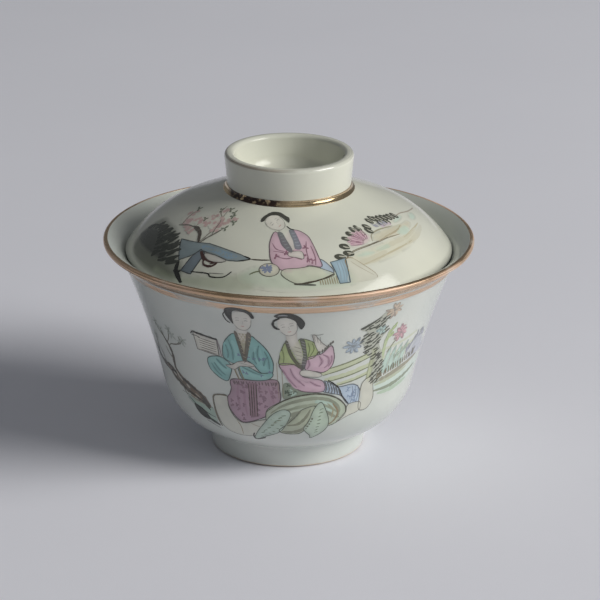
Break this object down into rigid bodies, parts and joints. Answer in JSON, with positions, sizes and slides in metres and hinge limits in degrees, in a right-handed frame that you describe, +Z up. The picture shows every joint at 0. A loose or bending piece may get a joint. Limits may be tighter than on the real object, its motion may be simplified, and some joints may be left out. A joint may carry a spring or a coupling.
{
  "type": "gaiwan",
  "caption": "Flared porcelain tea bowl on a foot ring, with a domed lid that seats inside the rim, a ring-shaped knob, gilt lines and enamel-painted garden scenes.",
  "frame": {"origin": "on the axis, at the standing face of the foot ring, so at the bottom centre of the whole object", "axes": "+Z up along the axis of revolution; the side with the main painted figures faces -Y"},
  "size_m": [0.11, 0.11, 0.0912],
  "materials": {
    "porcelain": "glossy pale grey-green glaze over white porcelain",
    "gilding": "thin fired gold, worn",
    "enamel": "glossy overglaze enamel colours with dark outlines"
  },
  "bodies": {
    "bowl": {"bowl_body": "porcelain", "foot_ring": "porcelain", "rim_gilding": "gilding", "rim_gilt_line": "gilding"},
    "lid": {"lid_dome": "porcelain", "knob_ring": "porcelain", "collar_gilding": "gilding", "knob_gilt_line": "gilding"}
  },
  "joints": [
    {"name": "lid_lift", "type": "slide", "parent": "bowl", "child": "lid", "axis": [0, 0, 1], "range_m": [0, 0.06]}
  ]
}
